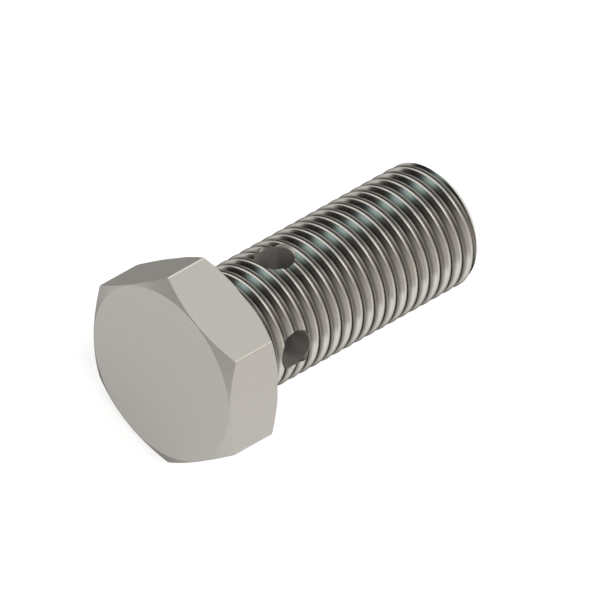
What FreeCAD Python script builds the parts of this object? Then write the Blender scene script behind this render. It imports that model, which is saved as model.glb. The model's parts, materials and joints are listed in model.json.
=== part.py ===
import FreeCAD, Part
import math
import os

import Sketcher

# Banjo bolt: a hexagon head and a threaded hollow shank, turned from one bar.
# Oil enters the bore at the thread end and leaves by two cross drillings under the head.
# The bolt is built along +X from the outer face of its head, then laid down on the floor
# the way it comes to rest: on one flat of the head and on the crest of its last thread.

# Driving dimensions in millimetres and degrees
DIMENSIONS = (
    ("across_flats", 15.875),
    ("head_height", 5.56),
    ("head_chamfer_circle", 15.7),
    ("under_chamfer_circle", 16.15),
    ("head_chamfer_angle", 30),
    ("shank_diameter", 11.11),
    ("shank_length", 26.2),
    ("end_chamfer", 0.86),
    ("head_neck", 0.5),
    ("neck_overlap", 0.05),
    ("thread_pitch", 1.27),
    ("thread_depth", 0.42),
    ("thread_crest", 0.3),
    ("thread_flank_angle", 30),
    ("thread_runout_turns", 2),
    ("cutter_margin", 0.2),
    ("oil_bore", 5.0),
    ("bore_mouth_chamfer", 0.3),
    ("drill_point_angle", 118),
    ("bore_past_hole", 0.4),
    ("cross_hole", 3.3),
    ("near_hole_station", 4.7),
    ("near_hole_turn", 60),
    ("far_hole_station", 7.5),
    ("far_hole_turn", -30),
)

doc = FreeCAD.newDocument("banjo_bolt")
sheet = doc.addObject("Spreadsheet::Sheet", "Sizes")
for row, (name, value) in enumerate(DIMENSIONS, start=1):
    sheet.set(f"A{row}", str(value))
    sheet.setAlias(f"A{row}", name)
doc.recompute()

body = doc.addObject("PartDesign::Body", "BanjoBolt")
body.Label = "banjo_bolt"


def origin_plane(role):
    return next(item for item in body.Origin.OriginFeatures if item.Role == role)


def new_sketch(name, role, turn="0"):
    """A sketch on one of the body's planes, turned about the bolt's axis."""
    sketch = body.newObject("Sketcher::SketchObject", name)
    sketch.AttachmentSupport = (origin_plane(role), [""])
    sketch.MapMode = "FlatFace"
    sketch.AttachmentOffset = FreeCAD.Placement(FreeCAD.Vector(), FreeCAD.Vector(1, 0, 0), 1)
    sketch.setExpression("AttachmentOffset.Rotation.Angle", turn)
    return sketch


def add_size(sketch, name, expression, constraint, *places):
    """A dimension of a sketch that follows an expression on the sheet's cells."""
    value = float(sketch.evalExpression(expression))
    index = sketch.addConstraint(Sketcher.Constraint(constraint, *places, value))
    sketch.renameConstraint(index, name)
    sketch.setExpression("Constraints." + name, expression)


def place_point(sketch, name, geometry, end, x, y):
    """Holds a point at x along the bolt and y out from its axis, given as expressions."""
    if x == "0":
        sketch.addConstraint(Sketcher.Constraint("PointOnObject", geometry, end, -2))
    else:
        add_size(sketch, name + "_x", x, "DistanceX", -1, 1, geometry, end)
    if y == "0":
        sketch.addConstraint(Sketcher.Constraint("PointOnObject", geometry, end, -1))
    else:
        add_size(sketch, name + "_y", y, "DistanceY", -1, 1, geometry, end)


def add_outline(sketch, name, corners):
    """A closed outline of straight lines through the corners, each a pair of expressions."""
    points = []
    for x, y in corners:
        points.append(FreeCAD.Vector(sketch.evalExpression(x), sketch.evalExpression(y), 0))
    first = sketch.GeometryCount
    count = len(points)
    for index in range(count):
        sketch.addGeometry(Part.LineSegment(points[index], points[(index + 1) % count]), False)
    for index in range(count):
        following = first + (index + 1) % count
        sketch.addConstraint(Sketcher.Constraint("Coincident", first + index, 2, following, 1))
    for index, (x, y) in enumerate(corners):
        place_point(sketch, f"{name}_{index}", first + index, 1, x, y)


def turned(kind, name, sketch):
    """A full turn of a sketch about the bolt's axis, which adds or cuts."""
    feature = body.newObject("PartDesign::" + kind, name)
    feature.Profile = sketch
    feature.ReferenceAxis = (sketch, ["H_Axis"])
    feature.Angle = 360
    return feature


# Places that several features share, as expressions on the sheet
BEARING_FACE = "Sizes.head_height"
THREAD_END = "Sizes.head_height + Sizes.shank_length"
CREST_RADIUS = "Sizes.shank_diameter / 2"
ROOT_RADIUS = "Sizes.shank_diameter / 2 - Sizes.thread_depth"

# Shank: a plain bar to the thread's crest, chamfered at its end
shank_sketch = new_sketch("ShankProfile", "XZ_Plane")
add_outline(shank_sketch, "shank", (
    (BEARING_FACE, "0"),
    (THREAD_END, "0"),
    (THREAD_END, CREST_RADIUS + " - Sizes.end_chamfer"),
    (THREAD_END + " - Sizes.end_chamfer", CREST_RADIUS),
    (BEARING_FACE, CREST_RADIUS),
))
shank = turned("Revolution", "Shank", shank_sketch)

# Thread: a right-hand groove with 60 degree flanks and a flat root, cut from beyond the
# end of the shank to beyond the bearing face. It starts where it leaves a full crest
# at the end chamfer on the side that the bolt lies on.
RUNOUT = "Sizes.thread_runout_turns * Sizes.thread_pitch"
FLANK_SLOPE = "tan(Sizes.thread_flank_angle)"
GROOVE_PLACE = THREAD_END + " - Sizes.end_chamfer - Sizes.thread_crest / 2 + " + RUNOUT
GROOVE_HALF_MOUTH = "(Sizes.thread_pitch - Sizes.thread_crest) / 2"
GROOVE_HALF_ROOT = GROOVE_HALF_MOUTH + " - Sizes.thread_depth * " + FLANK_SLOPE
CUTTER_HALF_TOP = GROOVE_HALF_MOUTH + " + Sizes.cutter_margin * " + FLANK_SLOPE
groove_sketch = new_sketch("GrooveProfile", "XZ_Plane")
add_outline(groove_sketch, "groove", (
    (GROOVE_PLACE + " - (" + GROOVE_HALF_ROOT + ")", ROOT_RADIUS),
    (GROOVE_PLACE + " + (" + GROOVE_HALF_ROOT + ")", ROOT_RADIUS),
    (GROOVE_PLACE + " + (" + CUTTER_HALF_TOP + ")", CREST_RADIUS + " + Sizes.cutter_margin"),
    (GROOVE_PLACE + " - (" + CUTTER_HALF_TOP + ")", CREST_RADIUS + " + Sizes.cutter_margin"),
))
thread = body.newObject("PartDesign::SubtractiveHelix", "Thread")
thread.Profile = groove_sketch
thread.ReferenceAxis = (groove_sketch, ["H_Axis"])
thread.Mode = "pitch-height-angle"
thread.setExpression("Pitch", "Sizes.thread_pitch")
thread.setExpression("Height", "Sizes.shank_length + 2 * " + RUNOUT)
thread.Angle = 0
thread.Growth = 0
thread.LeftHanded = False
thread.Reversed = True

# Head: a hexagon with one flat down, chamfered all round on both faces
head_sketch = new_sketch("HeadOutline", "YZ_Plane")
SIDES = 6
corner_radius = float(sheet.across_flats) / math.sqrt(3)
corner_points = []
for side in range(SIDES):
    corner_angle = 2 * math.pi * side / SIDES
    corner_points.append(FreeCAD.Vector(corner_radius * math.cos(corner_angle),
                                        corner_radius * math.sin(corner_angle), 0))
for side in range(SIDES):
    edge = Part.LineSegment(corner_points[side], corner_points[(side + 1) % SIDES])
    head_sketch.addGeometry(edge, False)
corner_circle = Part.Circle(FreeCAD.Vector(), FreeCAD.Vector(0, 0, 1), corner_radius)
circle = head_sketch.addGeometry(corner_circle, True)
head_sketch.addConstraint(Sketcher.Constraint("Coincident", circle, 3, -1, 1))
for side in range(SIDES):
    following = (side + 1) % SIDES
    head_sketch.addConstraint(Sketcher.Constraint("Coincident", side, 2, following, 1))
    head_sketch.addConstraint(Sketcher.Constraint("PointOnObject", side, 1, circle))
for side in range(1, SIDES):
    head_sketch.addConstraint(Sketcher.Constraint("Equal", 0, side))
head_sketch.addConstraint(Sketcher.Constraint("PointOnObject", 0, 1, -1))
add_size(head_sketch, "corner_circle", "Sizes.across_flats / cos(30) / 2", "Radius", circle)
head = body.newObject("PartDesign::Pad", "Head")
head.Profile = head_sketch
head.setExpression("Length", BEARING_FACE)

CHAMFER_SLOPE = "tan(Sizes.head_chamfer_angle)"
CUTTER_RADIUS = "Sizes.across_flats / cos(30) / 2 + Sizes.cutter_margin"
OUTER_CIRCLE = "Sizes.head_chamfer_circle / 2"
UNDER_CIRCLE = "Sizes.under_chamfer_circle / 2"
OUTER_DEPTH = "(" + CUTTER_RADIUS + " - " + OUTER_CIRCLE + ") * " + CHAMFER_SLOPE
UNDER_DEPTH = "(" + CUTTER_RADIUS + " - " + UNDER_CIRCLE + ") * " + CHAMFER_SLOPE
chamfer_sketch = new_sketch("HeadChamferProfile", "XZ_Plane")
add_outline(chamfer_sketch, "outer", (
    ("0", OUTER_CIRCLE),
    (OUTER_DEPTH, CUTTER_RADIUS),
    ("0", CUTTER_RADIUS),
))
add_outline(chamfer_sketch, "under", (
    (BEARING_FACE, UNDER_CIRCLE),
    (BEARING_FACE, CUTTER_RADIUS),
    (BEARING_FACE + " - " + UNDER_DEPTH, CUTTER_RADIUS),
))
head_chamfers = turned("Groove", "HeadChamfers", chamfer_sketch)

# Neck: a short cone that fills the corner between the bearing face and the thread's root
NECK_FOOT = ROOT_RADIUS + " - Sizes.neck_overlap"
neck_sketch = new_sketch("NeckProfile", "XZ_Plane")
add_outline(neck_sketch, "neck", (
    (BEARING_FACE, NECK_FOOT),
    (BEARING_FACE + " + Sizes.head_neck", NECK_FOOT),
    (BEARING_FACE, NECK_FOOT + " + Sizes.head_neck"),
))
head_neck = turned("Revolution", "HeadNeck", neck_sketch)

# Oil bore: drilled from the thread end past the cross drilling nearest the head
BORE_RADIUS = "Sizes.oil_bore / 2"
BORE_SHOULDER = ("Sizes.head_height + Sizes.near_hole_station - Sizes.cross_hole / 2"
                 " - Sizes.bore_past_hole")
bore_sketch = new_sketch("BoreProfile", "XZ_Plane")
add_outline(bore_sketch, "bore", (
    (BORE_SHOULDER + " - " + BORE_RADIUS + " / tan(Sizes.drill_point_angle / 2)", "0"),
    (BORE_SHOULDER, BORE_RADIUS),
    (THREAD_END + " - Sizes.bore_mouth_chamfer", BORE_RADIUS),
    (THREAD_END, BORE_RADIUS + " + Sizes.bore_mouth_chamfer"),
    (THREAD_END, "0"),
))
oil_bore = turned("Groove", "OilBore", bore_sketch)

# Cross drillings: each goes straight through both walls, a quarter turn from the other
for name in ("near", "far"):
    hole_sketch = new_sketch(name.capitalize() + "HoleOutline", "XY_Plane",
                             f"Sizes.{name}_hole_turn")
    station = f"Sizes.head_height + Sizes.{name}_hole_station"
    centre = FreeCAD.Vector(hole_sketch.evalExpression(station), 0, 0)
    hole_circle = Part.Circle(centre, FreeCAD.Vector(0, 0, 1), float(sheet.cross_hole) / 2)
    rim = hole_sketch.addGeometry(hole_circle, False)
    place_point(hole_sketch, "station", rim, 3, station, "0")
    add_size(hole_sketch, "hole", "Sizes.cross_hole / 2", "Radius", rim)
    cross_hole = body.newObject("PartDesign::Pocket", name.capitalize() + "CrossHole")
    cross_hole.Profile = hole_sketch
    cross_hole.Type = "ThroughAll"
    cross_hole.Midplane = True

doc.recompute()

# Lying at rest: the head's lowest flat and the last full crest both touch the floor, and
# the origin is on the floor under the middle of the bolt
flat_radius = sheet.across_flats / 2
face_radius = sheet.head_chamfer_circle / 2
under_radius = sheet.under_chamfer_circle / 2
crest_radius = sheet.shank_diameter / 2
end_radius = crest_radius - sheet.end_chamfer
chamfer_slope = math.tan(math.radians(sheet.head_chamfer_angle))
flat_contact = sheet.head_height - max(0, flat_radius - under_radius) * chamfer_slope
thread_end = sheet.head_height + sheet.shank_length
crest_contact = thread_end - sheet.end_chamfer
tilt = math.atan2(flat_radius - crest_radius, crest_contact - flat_contact)
lift = flat_contact * math.sin(tilt) + flat_radius * math.cos(tilt)
lowest_x = -face_radius * math.sin(tilt)
highest_x = thread_end * math.cos(tilt) + end_radius * math.sin(tilt)
middle = (lowest_x + highest_x) / 2
body.Placement = FreeCAD.Placement(FreeCAD.Vector(-middle, 0, lift),
                                   FreeCAD.Rotation(FreeCAD.Vector(0, 1, 0), math.degrees(tilt)))
doc.recompute()

for item in doc.Objects:
    if "Invalid" in item.State or "Error" in item.State:
        raise RuntimeError(f"{item.Label} did not compute: {item.State}")
if body.Shape.isNull() or not body.Shape.isValid() or len(body.Shape.Solids) != 1:
    raise RuntimeError(f"{body.Label} is not one valid solid")

os.makedirs("parts", exist_ok=True)
body.Shape.exportStep(f"parts/{body.Label}.step")
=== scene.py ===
import json
import math

import bmesh
import bpy
from mathutils import Matrix, Vector


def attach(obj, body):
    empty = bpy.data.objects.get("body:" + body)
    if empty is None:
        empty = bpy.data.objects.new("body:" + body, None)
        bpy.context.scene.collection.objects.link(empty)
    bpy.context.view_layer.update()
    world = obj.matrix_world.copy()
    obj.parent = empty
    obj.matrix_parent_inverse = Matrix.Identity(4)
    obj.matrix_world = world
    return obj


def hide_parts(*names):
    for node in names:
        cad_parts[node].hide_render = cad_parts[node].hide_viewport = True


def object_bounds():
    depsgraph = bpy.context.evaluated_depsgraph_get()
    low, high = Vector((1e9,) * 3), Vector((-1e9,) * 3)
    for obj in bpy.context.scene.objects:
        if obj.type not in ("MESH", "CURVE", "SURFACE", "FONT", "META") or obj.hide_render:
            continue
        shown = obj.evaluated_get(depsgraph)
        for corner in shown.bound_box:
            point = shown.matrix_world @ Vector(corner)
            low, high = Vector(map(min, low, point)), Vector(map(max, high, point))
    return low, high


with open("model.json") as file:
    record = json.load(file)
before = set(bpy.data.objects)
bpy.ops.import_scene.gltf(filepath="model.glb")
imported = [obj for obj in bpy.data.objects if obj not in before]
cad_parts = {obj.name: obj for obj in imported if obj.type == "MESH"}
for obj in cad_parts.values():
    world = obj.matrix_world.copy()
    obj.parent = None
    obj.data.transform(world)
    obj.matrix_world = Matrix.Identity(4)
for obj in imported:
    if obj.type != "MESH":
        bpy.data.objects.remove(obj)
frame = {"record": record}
cad_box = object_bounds()

MM = 0.001

# Sizes that the frame's mounts give, in millimetres
mounts = {mount["name"]: mount for mount in frame["record"]["mounts"]}
bolt_axis = Vector(mounts["threaded_shank"]["axis"]).normalized()
head_middle = Vector(mounts["wrench_hexagon"]["pos_m"])


def station(mount_name):
    """How far a mount lies along the bolt from the middle of its head, in millimetres."""
    return (Vector(mounts[mount_name]["pos_m"]) - head_middle).dot(bolt_axis) / MM


def radius_of(mount_name):
    return mounts[mount_name]["dims"]["r_mm"]


def length_of(mount_name):
    return mounts[mount_name]["dims"]["length_mm"]


HEAD_HEIGHT = 2 * station("bearing_face")
BEARING_FACE = HEAD_HEIGHT
CREST_RADIUS = radius_of("threaded_shank")
BORE_RADIUS = radius_of("oil_bore")
BORE_LENGTH = length_of("oil_bore")
BORE_SHOULDER = HEAD_HEIGHT / 2 + station("oil_bore") - BORE_LENGTH / 2
LAST_CREST = HEAD_HEIGHT / 2 + station("threaded_shank") + length_of("threaded_shank") / 2

# Sizes of the bolt that no mount gives, in millimetres and degrees
ACROSS_FLATS = 15.875
HEAD_CHAMFER_RADIUS = 7.85
UNDER_CHAMFER_RADIUS = 8.075
HEAD_CHAMFER_ANGLE = 30
HEAD_EDGE_BREAK = 0.12
HEAD_NECK = 0.28
THREAD_PITCH = 1.27
THREAD_DEPTH = 0.25
THREAD_CREST = 0.3
END_CHAMFER = 0.86
THREAD_END = LAST_CREST + END_CHAMFER
DRILL_POINT_ANGLE = 118
BORE_MOUTH_CHAMFER = 0.3
HOLE_EDGE_DEPTH = 0.27
HOLE_EDGE_WIDTH = 0.15
# A drill's faces whose normals lean more than this to its axis are the edge breaks' faces
EDGE_BREAK_SLANT = 0.2

# How far shapes reach past the surfaces that they cut or join, in millimetres and turns
OVERLAP = 0.3
CUTTER_REACH = 1.0
SPARE_TURNS = 2
# Points nearer to each other than this, in millimetres, become one
MERGE_DISTANCE = 1e-4

# How finely round forms are divided, and which edges and faces are shaded flat: edges
# sharper than an angle in degrees, and faces larger than a facet of a round form in mm2
PROFILE_STEPS = 16
TURN_STEPS = 96
ROUND_STEPS = 128
HEAD_STEPS = 192
HEAD_EDGE_STEPS = 3
SHARP_ANGLE = 28
LARGEST_ROUND_FACET = 2.0

# The steels: sizes of grain in millimetres, roughness and tones from one end of it to the
# other, and how metallic each is
HEAD_GRAIN = 0.22
HEAD_CLOUDS = 4
HEAD_ROUGHNESS = (0.36, 0.42)
HEAD_TONES = ("AEABA6", "BCB9B5")
HEAD_METALLIC = 0.75
HEAD_BUMP_STRENGTH = 0.12
HEAD_BUMP_HEIGHT = 0.02
THREAD_GRAIN = 0.5
THREAD_ROUGHNESS = (0.22, 0.28)
THREAD_RIDGE_TONES = ("B9B5B0", "C6C3BE")
# The roots' tone is painted shade, darker than the ridges where shade falls in the valleys
THREAD_ROOT_PAINTED_SHADE = "7E7B77"

# The photograph's view: its scale, the place of the centre of the head's outer face, and
# angles in degrees, with the camera's distance and clipping in metres
IMAGE_PIXELS = 600
PIXELS_PER_MM = 12.192
HEAD_FACE_PIXEL = (161.3, 373.7)
VIEW_TURN = 44.70
VIEW_RISE = 34.34
CORNER_UP_TURN = 30
CAMERA_DISTANCE = 0.4
CLIP_START = 0.01
CLIP_END = 5

# The lamps: direction from the bolt, distance and width in metres, and power in watts
SOFTBOXES = {
    "front_softbox": ((-0.6, -0.35, 0.72), 0.5, 0.5, 0.8),
    "top_softbox": ((0.3, -0.3, 0.9), 0.5, 0.6, 2.2),
}

# The table: its half width in metres, its colour and the glow that makes it white to the eye
TABLE_HALF_WIDTH = 0.07
TABLE_COLOUR = "B4B4B4"
TABLE_ROUGHNESS = 0.9
TABLE_GLOW = 0.7

# The studio: the bright strip's place and width as shares of the bolt's direction, the colours
# round the bolt on the strip and beside it, by angle from the back (0) over the top (90) to the
# front (180), and the plain wall past the head, which begins and is full at two more shares
STRIP_ALONG = 0.6
STRIP_HALF_WIDTH = 0.17
STRIP_END = 0.42
STRIP_BRIGHTNESS = 2.0
STRIP_COLOURS = (
    (-180, "C6C3BE"),
    (-90, "B6B3AE"),
    (-20, "3A3836"),
    (-5, "D4D2CE"),
    (12, "EDEBE8"),
    (30, "DAD9D6"),
    (48, "D1D2CE"),
    (60, "BCBCB9"),
    (72, "959390"),
    (84, "FAF8F4"),
    (92, "FFFDF9"),
    (104, "E7E4DF"),
    (122, "BFBBB5"),
    (138, "9B9893"),
    (155, "B0ADA8"),
    (180, "C6C3BE"),
)
ROOM_COLOURS = (
    (-180, "D8D4CE"),
    (-90, "B5B2AD"),
    (-20, "1E1C1A"),
    (34, "2A2826"),
    (40, "C4E0DE"),
    (55, "C4E0DE"),
    (61, "2A2826"),
    (84, "2A2826"),
    (102, "524F4C"),
    (126, "A09D98"),
    (150, "CCC8C2"),
    (180, "D8D4CE"),
)
HEAD_SIDE_COLOUR = "C8C4BE"
HEAD_SIDE_START = -0.45
HEAD_SIDE_FULL = -0.8


def lie_down():
    """The matrix from the bolt's own millimetres, +X along it from its head, to its rest."""
    across = Vector((0, 1, 0))
    upward = bolt_axis.cross(across)
    turn = Matrix((bolt_axis, across, upward)).transposed().to_4x4()
    head_face = head_middle - bolt_axis * (HEAD_HEIGHT / 2 * MM)
    return Matrix.Translation(head_face) @ turn @ Matrix.Scale(MM, 4)


REST = lie_down()


def linear(hex_colour):
    """An sRGB hex colour as linear red, green, blue and alpha."""
    channels = []
    for place in (0, 2, 4):
        value = int(hex_colour[place:place + 2], 16) / 255
        low = value / 12.92
        high = ((value + 0.055) / 1.055) ** 2.4
        channels.append(low if value <= 0.04045 else high)
    return (*channels, 1)


def add_node(tree, kind, settings=None, inputs=None):
    """Adds one node. An input is a plain value, or another node's output to link."""
    node = tree.nodes.new(kind)
    for name, value in (settings or {}).items():
        setattr(node, name, value)
    for name, value in (inputs or {}).items():
        if isinstance(value, bpy.types.NodeSocket):
            tree.links.new(value, node.inputs[name])
        else:
            node.inputs[name].default_value = value
    return node


def new_material(name):
    material = bpy.data.materials.new(name)
    material.use_nodes = True
    material.node_tree.nodes.clear()
    return material


def finish_material(material, shader_output):
    tree = material.node_tree
    add_node(tree, "ShaderNodeOutputMaterial", inputs={"Surface": shader_output})
    return material


# What steel reflects where it is seen at a flat angle, darker than its face colour
GRAZING_TINT = linear("4A4846")


def satin_head_steel():
    """Hexagon bar, blasted to a warm satin grey: a soft sheen, broken by a fine matt grain."""
    material = new_material("satin_steel_head")
    tree = material.node_tree
    place = add_node(tree, "ShaderNodeTexCoord").outputs["Object"]
    grain = add_node(tree, "ShaderNodeTexNoise", inputs={
        "Vector": place, "Scale": 1 / (HEAD_GRAIN * MM), "Detail": 3.0, "Roughness": 0.6})
    clouds = add_node(tree, "ShaderNodeTexNoise", inputs={
        "Vector": place, "Scale": 1 / (HEAD_CLOUDS * MM), "Detail": 2.0})
    smoothest, roughest = HEAD_ROUGHNESS
    roughness = add_node(tree, "ShaderNodeMapRange", inputs={
        "Value": clouds.outputs["Fac"], "To Min": smoothest, "To Max": roughest})
    dark, light = HEAD_TONES
    tone = add_node(tree, "ShaderNodeMix", {"data_type": "RGBA"}, {
        "Factor": grain.outputs["Fac"], "A": linear(dark), "B": linear(light)})
    bump = add_node(tree, "ShaderNodeBump", inputs={
        "Height": grain.outputs["Fac"], "Strength": HEAD_BUMP_STRENGTH,
        "Distance": HEAD_BUMP_HEIGHT * MM})
    steel = add_node(tree, "ShaderNodeBsdfPrincipled", inputs={
        "Base Color": tone.outputs["Result"], "Metallic": HEAD_METALLIC,
        "Specular Tint": GRAZING_TINT, "Roughness": roughness.outputs["Result"],
        "Normal": bump.outputs["Normal"]})
    return finish_material(material, steel.outputs["BSDF"])


def rolled_thread_steel():
    """Rolled thread steel, its roots darker than its ridges: painted shade in the valleys."""
    material = new_material("rolled_steel_thread_painted_root_shade")
    tree = material.node_tree
    place = add_node(tree, "ShaderNodeTexCoord").outputs["Object"]
    from_axis = add_node(tree, "ShaderNodeVectorMath", {"operation": "SUBTRACT"}, {0: place})
    from_axis.inputs[1].default_value = REST.translation
    across = add_node(tree, "ShaderNodeVectorMath", {"operation": "CROSS_PRODUCT"}, {
        0: from_axis.outputs["Vector"]})
    across.inputs[1].default_value = bolt_axis
    radius = add_node(tree, "ShaderNodeVectorMath", {"operation": "LENGTH"}, {
        0: across.outputs["Vector"]})
    # Painted shade: the root tone in the valleys, blending to the ridge tones towards the
    # crests
    height = add_node(tree, "ShaderNodeMapRange", {"interpolation_type": "SMOOTHSTEP"}, {
        "Value": radius.outputs["Value"], "From Min": (CREST_RADIUS - THREAD_DEPTH) * MM,
        "From Max": (CREST_RADIUS - THREAD_DEPTH / 3) * MM})
    grain = add_node(tree, "ShaderNodeTexNoise", inputs={
        "Vector": place, "Scale": 1 / (THREAD_GRAIN * MM), "Detail": 2.0})
    smoothest, roughest = THREAD_ROUGHNESS
    roughness = add_node(tree, "ShaderNodeMapRange", inputs={
        "Value": grain.outputs["Fac"], "To Min": smoothest, "To Max": roughest})
    dark, light = THREAD_RIDGE_TONES
    ridge = add_node(tree, "ShaderNodeMix", {"data_type": "RGBA"}, {
        "Factor": grain.outputs["Fac"], "A": linear(dark), "B": linear(light)})
    tone = add_node(tree, "ShaderNodeMix", {"data_type": "RGBA"}, {
        "Factor": height.outputs["Result"], "A": linear(THREAD_ROOT_PAINTED_SHADE),
        "B": ridge.outputs["Result"]})
    steel = add_node(tree, "ShaderNodeBsdfPrincipled", inputs={
        "Base Color": tone.outputs["Result"], "Metallic": 1.0, "Specular Tint": GRAZING_TINT,
        "Roughness": roughness.outputs["Result"]})
    return finish_material(material, steel.outputs["BSDF"])


def bare_steel(name, grain_size, smoothest, roughest, dark, light, metallic):
    """Bare steel with a fine grain, its size in millimetres, which varies tone and sheen."""
    material = new_material(name)
    tree = material.node_tree
    place = add_node(tree, "ShaderNodeTexCoord").outputs["Object"]
    grain = add_node(tree, "ShaderNodeTexNoise", inputs={
        "Vector": place, "Scale": 1 / (grain_size * MM), "Detail": 2.0})
    roughness = add_node(tree, "ShaderNodeMapRange", inputs={
        "Value": grain.outputs["Fac"], "To Min": smoothest, "To Max": roughest})
    tone = add_node(tree, "ShaderNodeMix", {"data_type": "RGBA"}, {
        "Factor": grain.outputs["Fac"], "A": linear(dark), "B": linear(light)})
    steel = add_node(tree, "ShaderNodeBsdfPrincipled", inputs={
        "Base Color": tone.outputs["Result"], "Metallic": metallic,
        "Roughness": roughness.outputs["Result"]})
    return finish_material(material, steel.outputs["BSDF"])


HEAD_STEEL = satin_head_steel()
THREAD_STEEL = rolled_thread_steel()
# The head's softened edges, rubbed smoother than its faces, with a lighter tone as a painted
# highlight
EDGE_STEEL = bare_steel("burnished_steel_edges_painted_highlight", grain_size=0.4, smoothest=0.24, roughest=0.32,
                        dark="BAB7B2", light="C4C1BC", metallic=1.0)
# The chamfered end of the shank, the neck under the head and the edge breaks of the cross
# holes, as the tool left them
TURNED_STEEL = bare_steel("turned_steel_end", grain_size=0.4, smoothest=0.28, roughest=0.36,
                          dark="ACA8A3", light="B9B5B0", metallic=1.0)
# The walls of the oil bore and the cross holes, duller than what is turned
HOLE_STEEL = bare_steel("drilled_steel_holes", grain_size=0.3, smoothest=0.30, roughest=0.38,
                        dark="AAA6A2", light="B6B2AE", metallic=0.7)


def new_object(name, mesh_maker, material):
    """An object at the origin with the mesh of a bmesh that the maker fills."""
    shape = bmesh.new()
    mesh_maker(shape)
    bmesh.ops.recalc_face_normals(shape, faces=shape.faces)
    mesh = bpy.data.meshes.new(name)
    shape.to_mesh(mesh)
    shape.free()
    mesh.materials.append(material)
    piece = bpy.data.objects.new(name, mesh)
    bpy.context.scene.collection.objects.link(piece)
    return piece


def combine(piece, tool, operation):
    """Joins, cuts or trims the piece with the tool, which is then removed."""
    modifier = piece.modifiers.new(operation, "BOOLEAN")
    modifier.operation = operation
    modifier.solver = "EXACT"
    modifier.material_mode = "TRANSFER"
    modifier.object = tool
    bake_modifiers(piece)
    bpy.data.objects.remove(tool)


def bake_modifiers(piece):
    """Replaces the piece's mesh by its own shape with its modifiers applied."""
    graph = bpy.context.evaluated_depsgraph_get()
    finished = bpy.data.meshes.new_from_object(piece.evaluated_get(graph), depsgraph=graph)
    piece.modifiers.clear()
    old = piece.data
    piece.data = finished
    bpy.data.meshes.remove(old)


def lathe(shape, outline, steps=ROUND_STEPS):
    """Turns an outline of points (along, out) about the bolt's axis into a closed solid."""
    points = [shape.verts.new((along, 0, out)) for along, out in outline]
    edges = [shape.edges.new(pair) for pair in zip(points, points[1:])]
    bmesh.ops.spin(shape, geom=points + edges, cent=(0, 0, 0), axis=(1, 0, 0),
                   angle=2 * math.pi, steps=steps, use_merge=True)
    bmesh.ops.remove_doubles(shape, verts=shape.verts, dist=MERGE_DISTANCE)


def thread_ridges(shape):
    """The rolled thread, a right-hand screw of rounded ridges, longer than the shank."""
    turns = math.ceil((THREAD_END - BEARING_FACE) / THREAD_PITCH) + 2 * SPARE_TURNS
    last_ridge = LAST_CREST - THREAD_CREST / 2
    first_ridge = last_ridge - (turns - SPARE_TURNS) * THREAD_PITCH
    profile = []
    for step in range(PROFILE_STEPS + 1):
        share = step / PROFILE_STEPS
        valley = (1 - math.cos(2 * math.pi * share)) / 2
        out = CREST_RADIUS - THREAD_DEPTH * valley
        profile.append(shape.verts.new((first_ridge + share * THREAD_PITCH, 0, -out)))
    edges = [shape.edges.new(pair) for pair in zip(profile, profile[1:])]
    bmesh.ops.spin(shape, geom=profile + edges, cent=(0, 0, 0), axis=(1, 0, 0),
                   dvec=(THREAD_PITCH / TURN_STEPS, 0, 0), angle=2 * math.pi, steps=TURN_STEPS)
    one_turn = shape.verts[:] + shape.edges[:] + shape.faces[:]
    for turn in range(1, turns):
        copy = bmesh.ops.duplicate(shape, geom=one_turn)["geom"]
        bmesh.ops.translate(shape, verts=[v for v in copy if isinstance(v, bmesh.types.BMVert)],
                            vec=(turn * THREAD_PITCH, 0, 0))
    bmesh.ops.remove_doubles(shape, verts=shape.verts, dist=MERGE_DISTANCE)
    for end, side in ((BEARING_FACE - OVERLAP, -1), (THREAD_END + OVERLAP, 1)):
        geometry = shape.verts[:] + shape.edges[:] + shape.faces[:]
        bmesh.ops.bisect_plane(shape, geom=geometry, plane_co=(end, 0, 0),
                               plane_no=(side, 0, 0), clear_outer=True)
    bmesh.ops.holes_fill(shape, edges=[e for e in shape.edges if e.is_boundary], sides=0)


def shank_envelope(shape):
    """What the shank is turned to: flat at the bearing face, chamfered at its end."""
    start = BEARING_FACE - OVERLAP / 2
    outside = CREST_RADIUS + OVERLAP
    lathe(shape, (
        (start, 0),
        (start, outside),
        (THREAD_END - END_CHAMFER - OVERLAP, outside),
        (THREAD_END, CREST_RADIUS - END_CHAMFER),
        (THREAD_END, 0),
    ))


def head_prism(shape):
    """The hexagon bar, with one flat down, a little longer than the head."""
    bmesh.ops.create_circle(shape, cap_ends=True, segments=6,
                            radius=ACROSS_FLATS / math.sqrt(3))
    bmesh.ops.rotate(shape, verts=shape.verts, cent=(0, 0, 0),
                     matrix=Matrix.Rotation(math.radians(90), 3, "Y"))
    bmesh.ops.translate(shape, verts=shape.verts, vec=(-OVERLAP, 0, 0))
    top = bmesh.ops.extrude_face_region(shape, geom=shape.faces[:])["geom"]
    bmesh.ops.translate(shape, verts=[v for v in top if isinstance(v, bmesh.types.BMVert)],
                        vec=(HEAD_HEIGHT + 2 * OVERLAP, 0, 0))


def head_envelope(shape):
    """What the head is turned to: chamfered all round on both faces."""
    outside = ACROSS_FLATS / math.sqrt(3) + CUTTER_REACH
    slope = math.tan(math.radians(HEAD_CHAMFER_ANGLE))
    lathe(shape, (
        (0, 0),
        (0, HEAD_CHAMFER_RADIUS),
        ((outside - HEAD_CHAMFER_RADIUS) * slope, outside),
        (HEAD_HEIGHT - (outside - UNDER_CHAMFER_RADIUS) * slope, outside),
        (HEAD_HEIGHT, UNDER_CHAMFER_RADIUS),
        (HEAD_HEIGHT, 0),
    ), steps=HEAD_STEPS)


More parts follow.
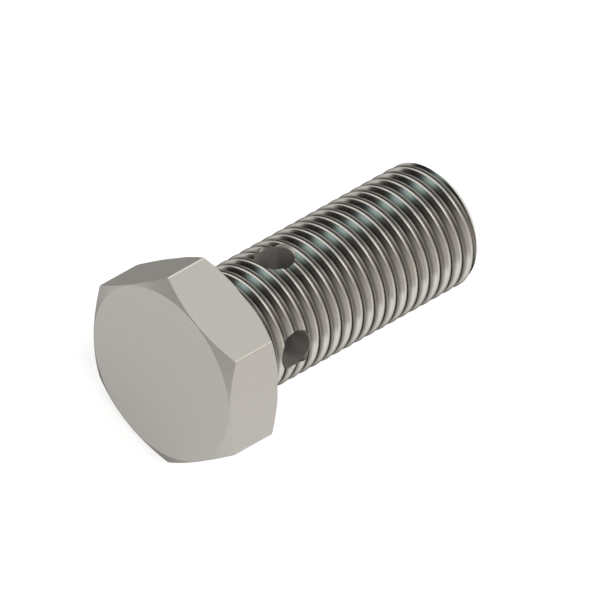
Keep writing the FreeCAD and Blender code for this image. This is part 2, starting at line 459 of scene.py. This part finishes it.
def head_neck(shape):
    """The short cone between the bearing face and the root of the thread."""
    root = CREST_RADIUS - THREAD_DEPTH
    lathe(shape, (
        (BEARING_FACE - OVERLAP, 0),
        (BEARING_FACE - OVERLAP, root + HEAD_NECK),
        (BEARING_FACE, root + HEAD_NECK),
        (BEARING_FACE + HEAD_NECK, root),
        (BEARING_FACE + HEAD_NECK, 0),
    ))


def oil_bore(shape):
    """The drill that enters at the thread end, with its point and the mouth's chamfer."""
    point = BORE_RADIUS / math.tan(math.radians(DRILL_POINT_ANGLE / 2))
    lathe(shape, (
        (BORE_SHOULDER - point, 0),
        (BORE_SHOULDER, BORE_RADIUS),
        (THREAD_END - BORE_MOUTH_CHAMFER, BORE_RADIUS),
        (THREAD_END + CUTTER_REACH, BORE_RADIUS + BORE_MOUTH_CHAMFER + CUTTER_REACH),
        (THREAD_END + CUTTER_REACH, 0),
    ))


def cross_drill(mount_name):
    """A maker of the drill for one cross hole, with the edge breaks where it comes out."""
    def make(shape):
        radius = radius_of(mount_name)
        rim = CREST_RADIUS - HOLE_EDGE_DEPTH
        mouth = radius + CUTTER_REACH * HOLE_EDGE_WIDTH / HOLE_EDGE_DEPTH
        lathe(shape, (
            (-rim - CUTTER_REACH, 0),
            (-rim - CUTTER_REACH, mouth),
            (-rim, radius),
            (rim, radius),
            (rim + CUTTER_REACH, mouth),
            (rim + CUTTER_REACH, 0),
        ))
        shape.normal_update()
        for face in shape.faces:
            if abs(face.normal.x) > EDGE_BREAK_SLANT:
                face.material_index = 1
        along = Vector(mounts[mount_name]["axis"])
        upright = (REST.to_3x3().normalized().inverted() @ along).normalized()
        turn = Vector((1, 0, 0)).rotation_difference(upright).to_matrix()
        bmesh.ops.rotate(shape, verts=shape.verts, cent=(0, 0, 0), matrix=turn)
        beside = upright.cross(Vector((1, 0, 0)))
        for vertex in shape.verts:
            height = vertex.co.dot(upright)
            if abs(height) > rim - OVERLAP:
                fall = CREST_RADIUS - math.sqrt(CREST_RADIUS ** 2 - vertex.co.dot(beside) ** 2)
                vertex.co -= upright * math.copysign(fall, height)
        bmesh.ops.translate(shape, verts=shape.verts,
                            vec=(HEAD_HEIGHT / 2 + station(mount_name), 0, 0))
    return make


def make_shank():
    """The threaded shank: the rolled thread trimmed to what the turned bar leaves of it."""
    stock = new_object("stock", shank_envelope, TURNED_STEEL)
    combine(stock, new_object("drill", oil_bore, HOLE_STEEL), "DIFFERENCE")
    for mount_name in ("near_cross_hole", "far_cross_hole"):
        drill = new_object("drill", cross_drill(mount_name), HOLE_STEEL)
        drill.data.materials.append(TURNED_STEEL)
        combine(stock, drill, "DIFFERENCE")
    shank = new_object("threaded_bolt", thread_ridges, THREAD_STEEL)
    combine(shank, stock, "INTERSECT")
    return shank


def make_head():
    """The hexagon head with its chamfers, its softened edges and the neck under it."""
    head = new_object("head", head_prism, HEAD_STEEL)
    head.data.materials.append(EDGE_STEEL)
    softened = head.modifiers.new("edge break", "BEVEL")
    softened.material = len(head.data.materials) - 1
    softened.width = HEAD_EDGE_BREAK
    softened.segments = HEAD_EDGE_STEPS
    softened.limit_method = "ANGLE"
    bake_modifiers(head)
    combine(head, new_object("envelope", head_envelope, HEAD_STEEL), "INTERSECT")
    combine(head, new_object("neck", head_neck, TURNED_STEEL), "UNION")
    return head


def make_bolt():
    """The whole bolt as one closed shape, in place of the CAD solid."""
    bolt = make_shank()
    combine(bolt, make_head(), "UNION")
    bolt.data.shade_smooth()
    bolt.data.set_sharp_from_angle(angle=math.radians(SHARP_ANGLE))
    for face in bolt.data.polygons:
        face.use_smooth = face.area < LARGEST_ROUND_FACET
    bolt.data.transform(REST)
    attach(bolt, "root")
    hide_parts("banjo_bolt")


make_bolt()


def photo_directions():
    """The photograph's right, up and back towards the camera, for the bolt at rest."""
    turn, rise = math.radians(VIEW_TURN), math.radians(VIEW_RISE)
    right = Vector((math.cos(turn), -math.sin(turn), 0))
    up = Vector((math.sin(turn) * math.sin(rise), math.cos(turn) * math.sin(rise),
                 math.cos(rise)))
    back = right.cross(up)
    settle = Matrix.Rotation(math.radians(-CORNER_UP_TURN), 3, "X")
    rest_turn = REST.to_3x3().normalized()
    return [(rest_turn @ settle @ direction).normalized() for direction in (right, up, back)]


def make_camera():
    """Sets up the photograph's camera, and gives the point at the middle of its picture."""
    right, up, back = photo_directions()
    head_face = REST @ Vector((0, 0, 0))
    scale = MM / PIXELS_PER_MM
    middle = head_face + right * (IMAGE_PIXELS / 2 - HEAD_FACE_PIXEL[0]) * scale
    middle += up * (HEAD_FACE_PIXEL[1] - IMAGE_PIXELS / 2) * scale
    data = bpy.data.cameras.new("photo_camera")
    data.type = "ORTHO"
    data.ortho_scale = IMAGE_PIXELS * scale
    data.clip_start = CLIP_START
    data.clip_end = CLIP_END
    camera = bpy.data.objects.new("photo_camera", data)
    turn = Matrix((right, up, back)).transposed().to_4x4()
    camera.matrix_world = Matrix.Translation(middle + back * CAMERA_DISTANCE) @ turn
    bpy.context.scene.collection.objects.link(camera)
    bpy.context.scene.camera = camera
    return middle


PICTURE_MIDDLE = make_camera()


def floor_material():
    """A white table, lit to near white, which the eye and the metal see as white."""
    material = new_material("white_table")
    tree = material.node_tree
    light_path = add_node(tree, "ShaderNodeLightPath")
    seen = add_node(tree, "ShaderNodeMath", {"operation": "ADD"})
    tree.links.new(light_path.outputs["Is Camera Ray"], seen.inputs[0])
    tree.links.new(light_path.outputs["Is Glossy Ray"], seen.inputs[1])
    seen_too = add_node(tree, "ShaderNodeMath", {"operation": "ADD", "use_clamp": True})
    tree.links.new(seen.outputs[0], seen_too.inputs[0])
    tree.links.new(light_path.outputs["Is Transmission Ray"], seen_too.inputs[1])
    glow = add_node(tree, "ShaderNodeMath", {"operation": "MULTIPLY"})
    tree.links.new(seen_too.outputs[0], glow.inputs[0])
    glow.inputs[1].default_value = TABLE_GLOW
    surface = add_node(tree, "ShaderNodeBsdfPrincipled", inputs={
        "Base Color": linear(TABLE_COLOUR), "Roughness": TABLE_ROUGHNESS,
        "Specular IOR Level": 0.0, "Emission Color": (1, 1, 1, 1),
        "Emission Strength": glow.outputs[0]})
    return finish_material(material, surface.outputs["BSDF"])


def make_floor():
    shape = bmesh.new()
    bmesh.ops.create_grid(shape, x_segments=1, y_segments=1, size=TABLE_HALF_WIDTH)
    mesh = bpy.data.meshes.new("table")
    shape.to_mesh(mesh)
    shape.free()
    mesh.materials.append(floor_material())
    floor = bpy.data.objects.new("table", mesh)
    floor.location.z = cad_box[0].z
    bpy.context.scene.collection.objects.link(floor)


make_floor()


def softbox(name, direction, distance, width, power):
    """A square lamp that faces the bolt from a direction, and that the metal doesn't mirror."""
    data = bpy.data.lights.new(name, "AREA")
    data.shape = "SQUARE"
    data.size = width
    data.energy = power
    away = Vector(direction).normalized()
    lamp = bpy.data.objects.new(name, data)
    lamp.matrix_world = (Matrix.Translation(PICTURE_MIDDLE + away * distance)
                         @ away.to_track_quat("Z", "Y").to_matrix().to_4x4())
    lamp.visible_glossy = False
    bpy.context.scene.collection.objects.link(lamp)


for lamp_name, lamp_settings in SOFTBOXES.items():
    softbox(lamp_name, *lamp_settings)


def along_direction(tree, look, direction):
    """How far the looked-at direction points along another one, from -1 to 1."""
    share = add_node(tree, "ShaderNodeVectorMath", {"operation": "DOT_PRODUCT"}, {0: look})
    share.inputs[1].default_value = direction
    return share.outputs["Value"]


def panel_ramp(tree, place, colours):
    """Colours that blend into each other round the bolt, by angles in degrees."""
    ramp = add_node(tree, "ShaderNodeValToRGB", inputs={"Fac": place})
    stops = ramp.color_ramp.elements
    for angle, colour in colours[1:-1]:
        stops.new(angle / 360 + 0.5)
    for stop, (angle, colour) in zip(stops, colours):
        stop.position = angle / 360 + 0.5
        stop.color = linear(colour)
    return ramp.outputs["Color"]


def make_world():
    """A studio of panels round the bolt, with a bright strip that runs over it crosswise."""
    world = bpy.data.worlds.new("studio")
    world.use_nodes = True
    tree = world.node_tree
    tree.nodes.clear()
    look = add_node(tree, "ShaderNodeTexCoord").outputs["Generated"]
    across = REST.to_3x3().normalized() @ Vector((0, 1, 0))
    upward = REST.to_3x3().normalized() @ Vector((0, 0, 1))
    angle = add_node(tree, "ShaderNodeMath", {"operation": "ARCTAN2"})
    tree.links.new(along_direction(tree, look, upward), angle.inputs[0])
    tree.links.new(along_direction(tree, look, across), angle.inputs[1])
    place = add_node(tree, "ShaderNodeMapRange", inputs={
        "Value": angle.outputs[0], "From Min": -math.pi, "From Max": math.pi})
    along = along_direction(tree, look, bolt_axis)
    away = add_node(tree, "ShaderNodeMath", {"operation": "SUBTRACT"})
    tree.links.new(along, away.inputs[0])
    away.inputs[1].default_value = STRIP_ALONG
    distance = add_node(tree, "ShaderNodeMath", {"operation": "ABSOLUTE"})
    tree.links.new(away.outputs[0], distance.inputs[0])
    beside = add_node(tree, "ShaderNodeMapRange", {"interpolation_type": "SMOOTHSTEP"}, {
        "Value": distance.outputs[0], "From Min": STRIP_HALF_WIDTH, "From Max": STRIP_END})
    strip = add_node(tree, "ShaderNodeVectorMath", {"operation": "SCALE"}, {
        0: panel_ramp(tree, place.outputs["Result"], STRIP_COLOURS), "Scale": STRIP_BRIGHTNESS})
    panels = add_node(tree, "ShaderNodeMix", {"data_type": "RGBA"}, {
        "Factor": beside.outputs["Result"], "A": strip.outputs["Vector"],
        "B": panel_ramp(tree, place.outputs["Result"], ROOM_COLOURS)})
    head_side = add_node(tree, "ShaderNodeMapRange", {"interpolation_type": "SMOOTHSTEP"}, {
        "Value": along, "From Min": HEAD_SIDE_START, "From Max": HEAD_SIDE_FULL})
    colour = add_node(tree, "ShaderNodeMix", {"data_type": "RGBA"}, {
        "Factor": head_side.outputs["Result"], "A": panels.outputs["Result"],
        "B": linear(HEAD_SIDE_COLOUR)})
    surround = add_node(tree, "ShaderNodeBackground", inputs={
        "Color": colour.outputs["Result"], "Strength": 1.0})
    add_node(tree, "ShaderNodeOutputWorld", inputs={"Surface": surround.outputs["Background"]})
    bpy.context.scene.world = world


make_world()

bpy.context.scene.view_settings.view_transform = "Standard"
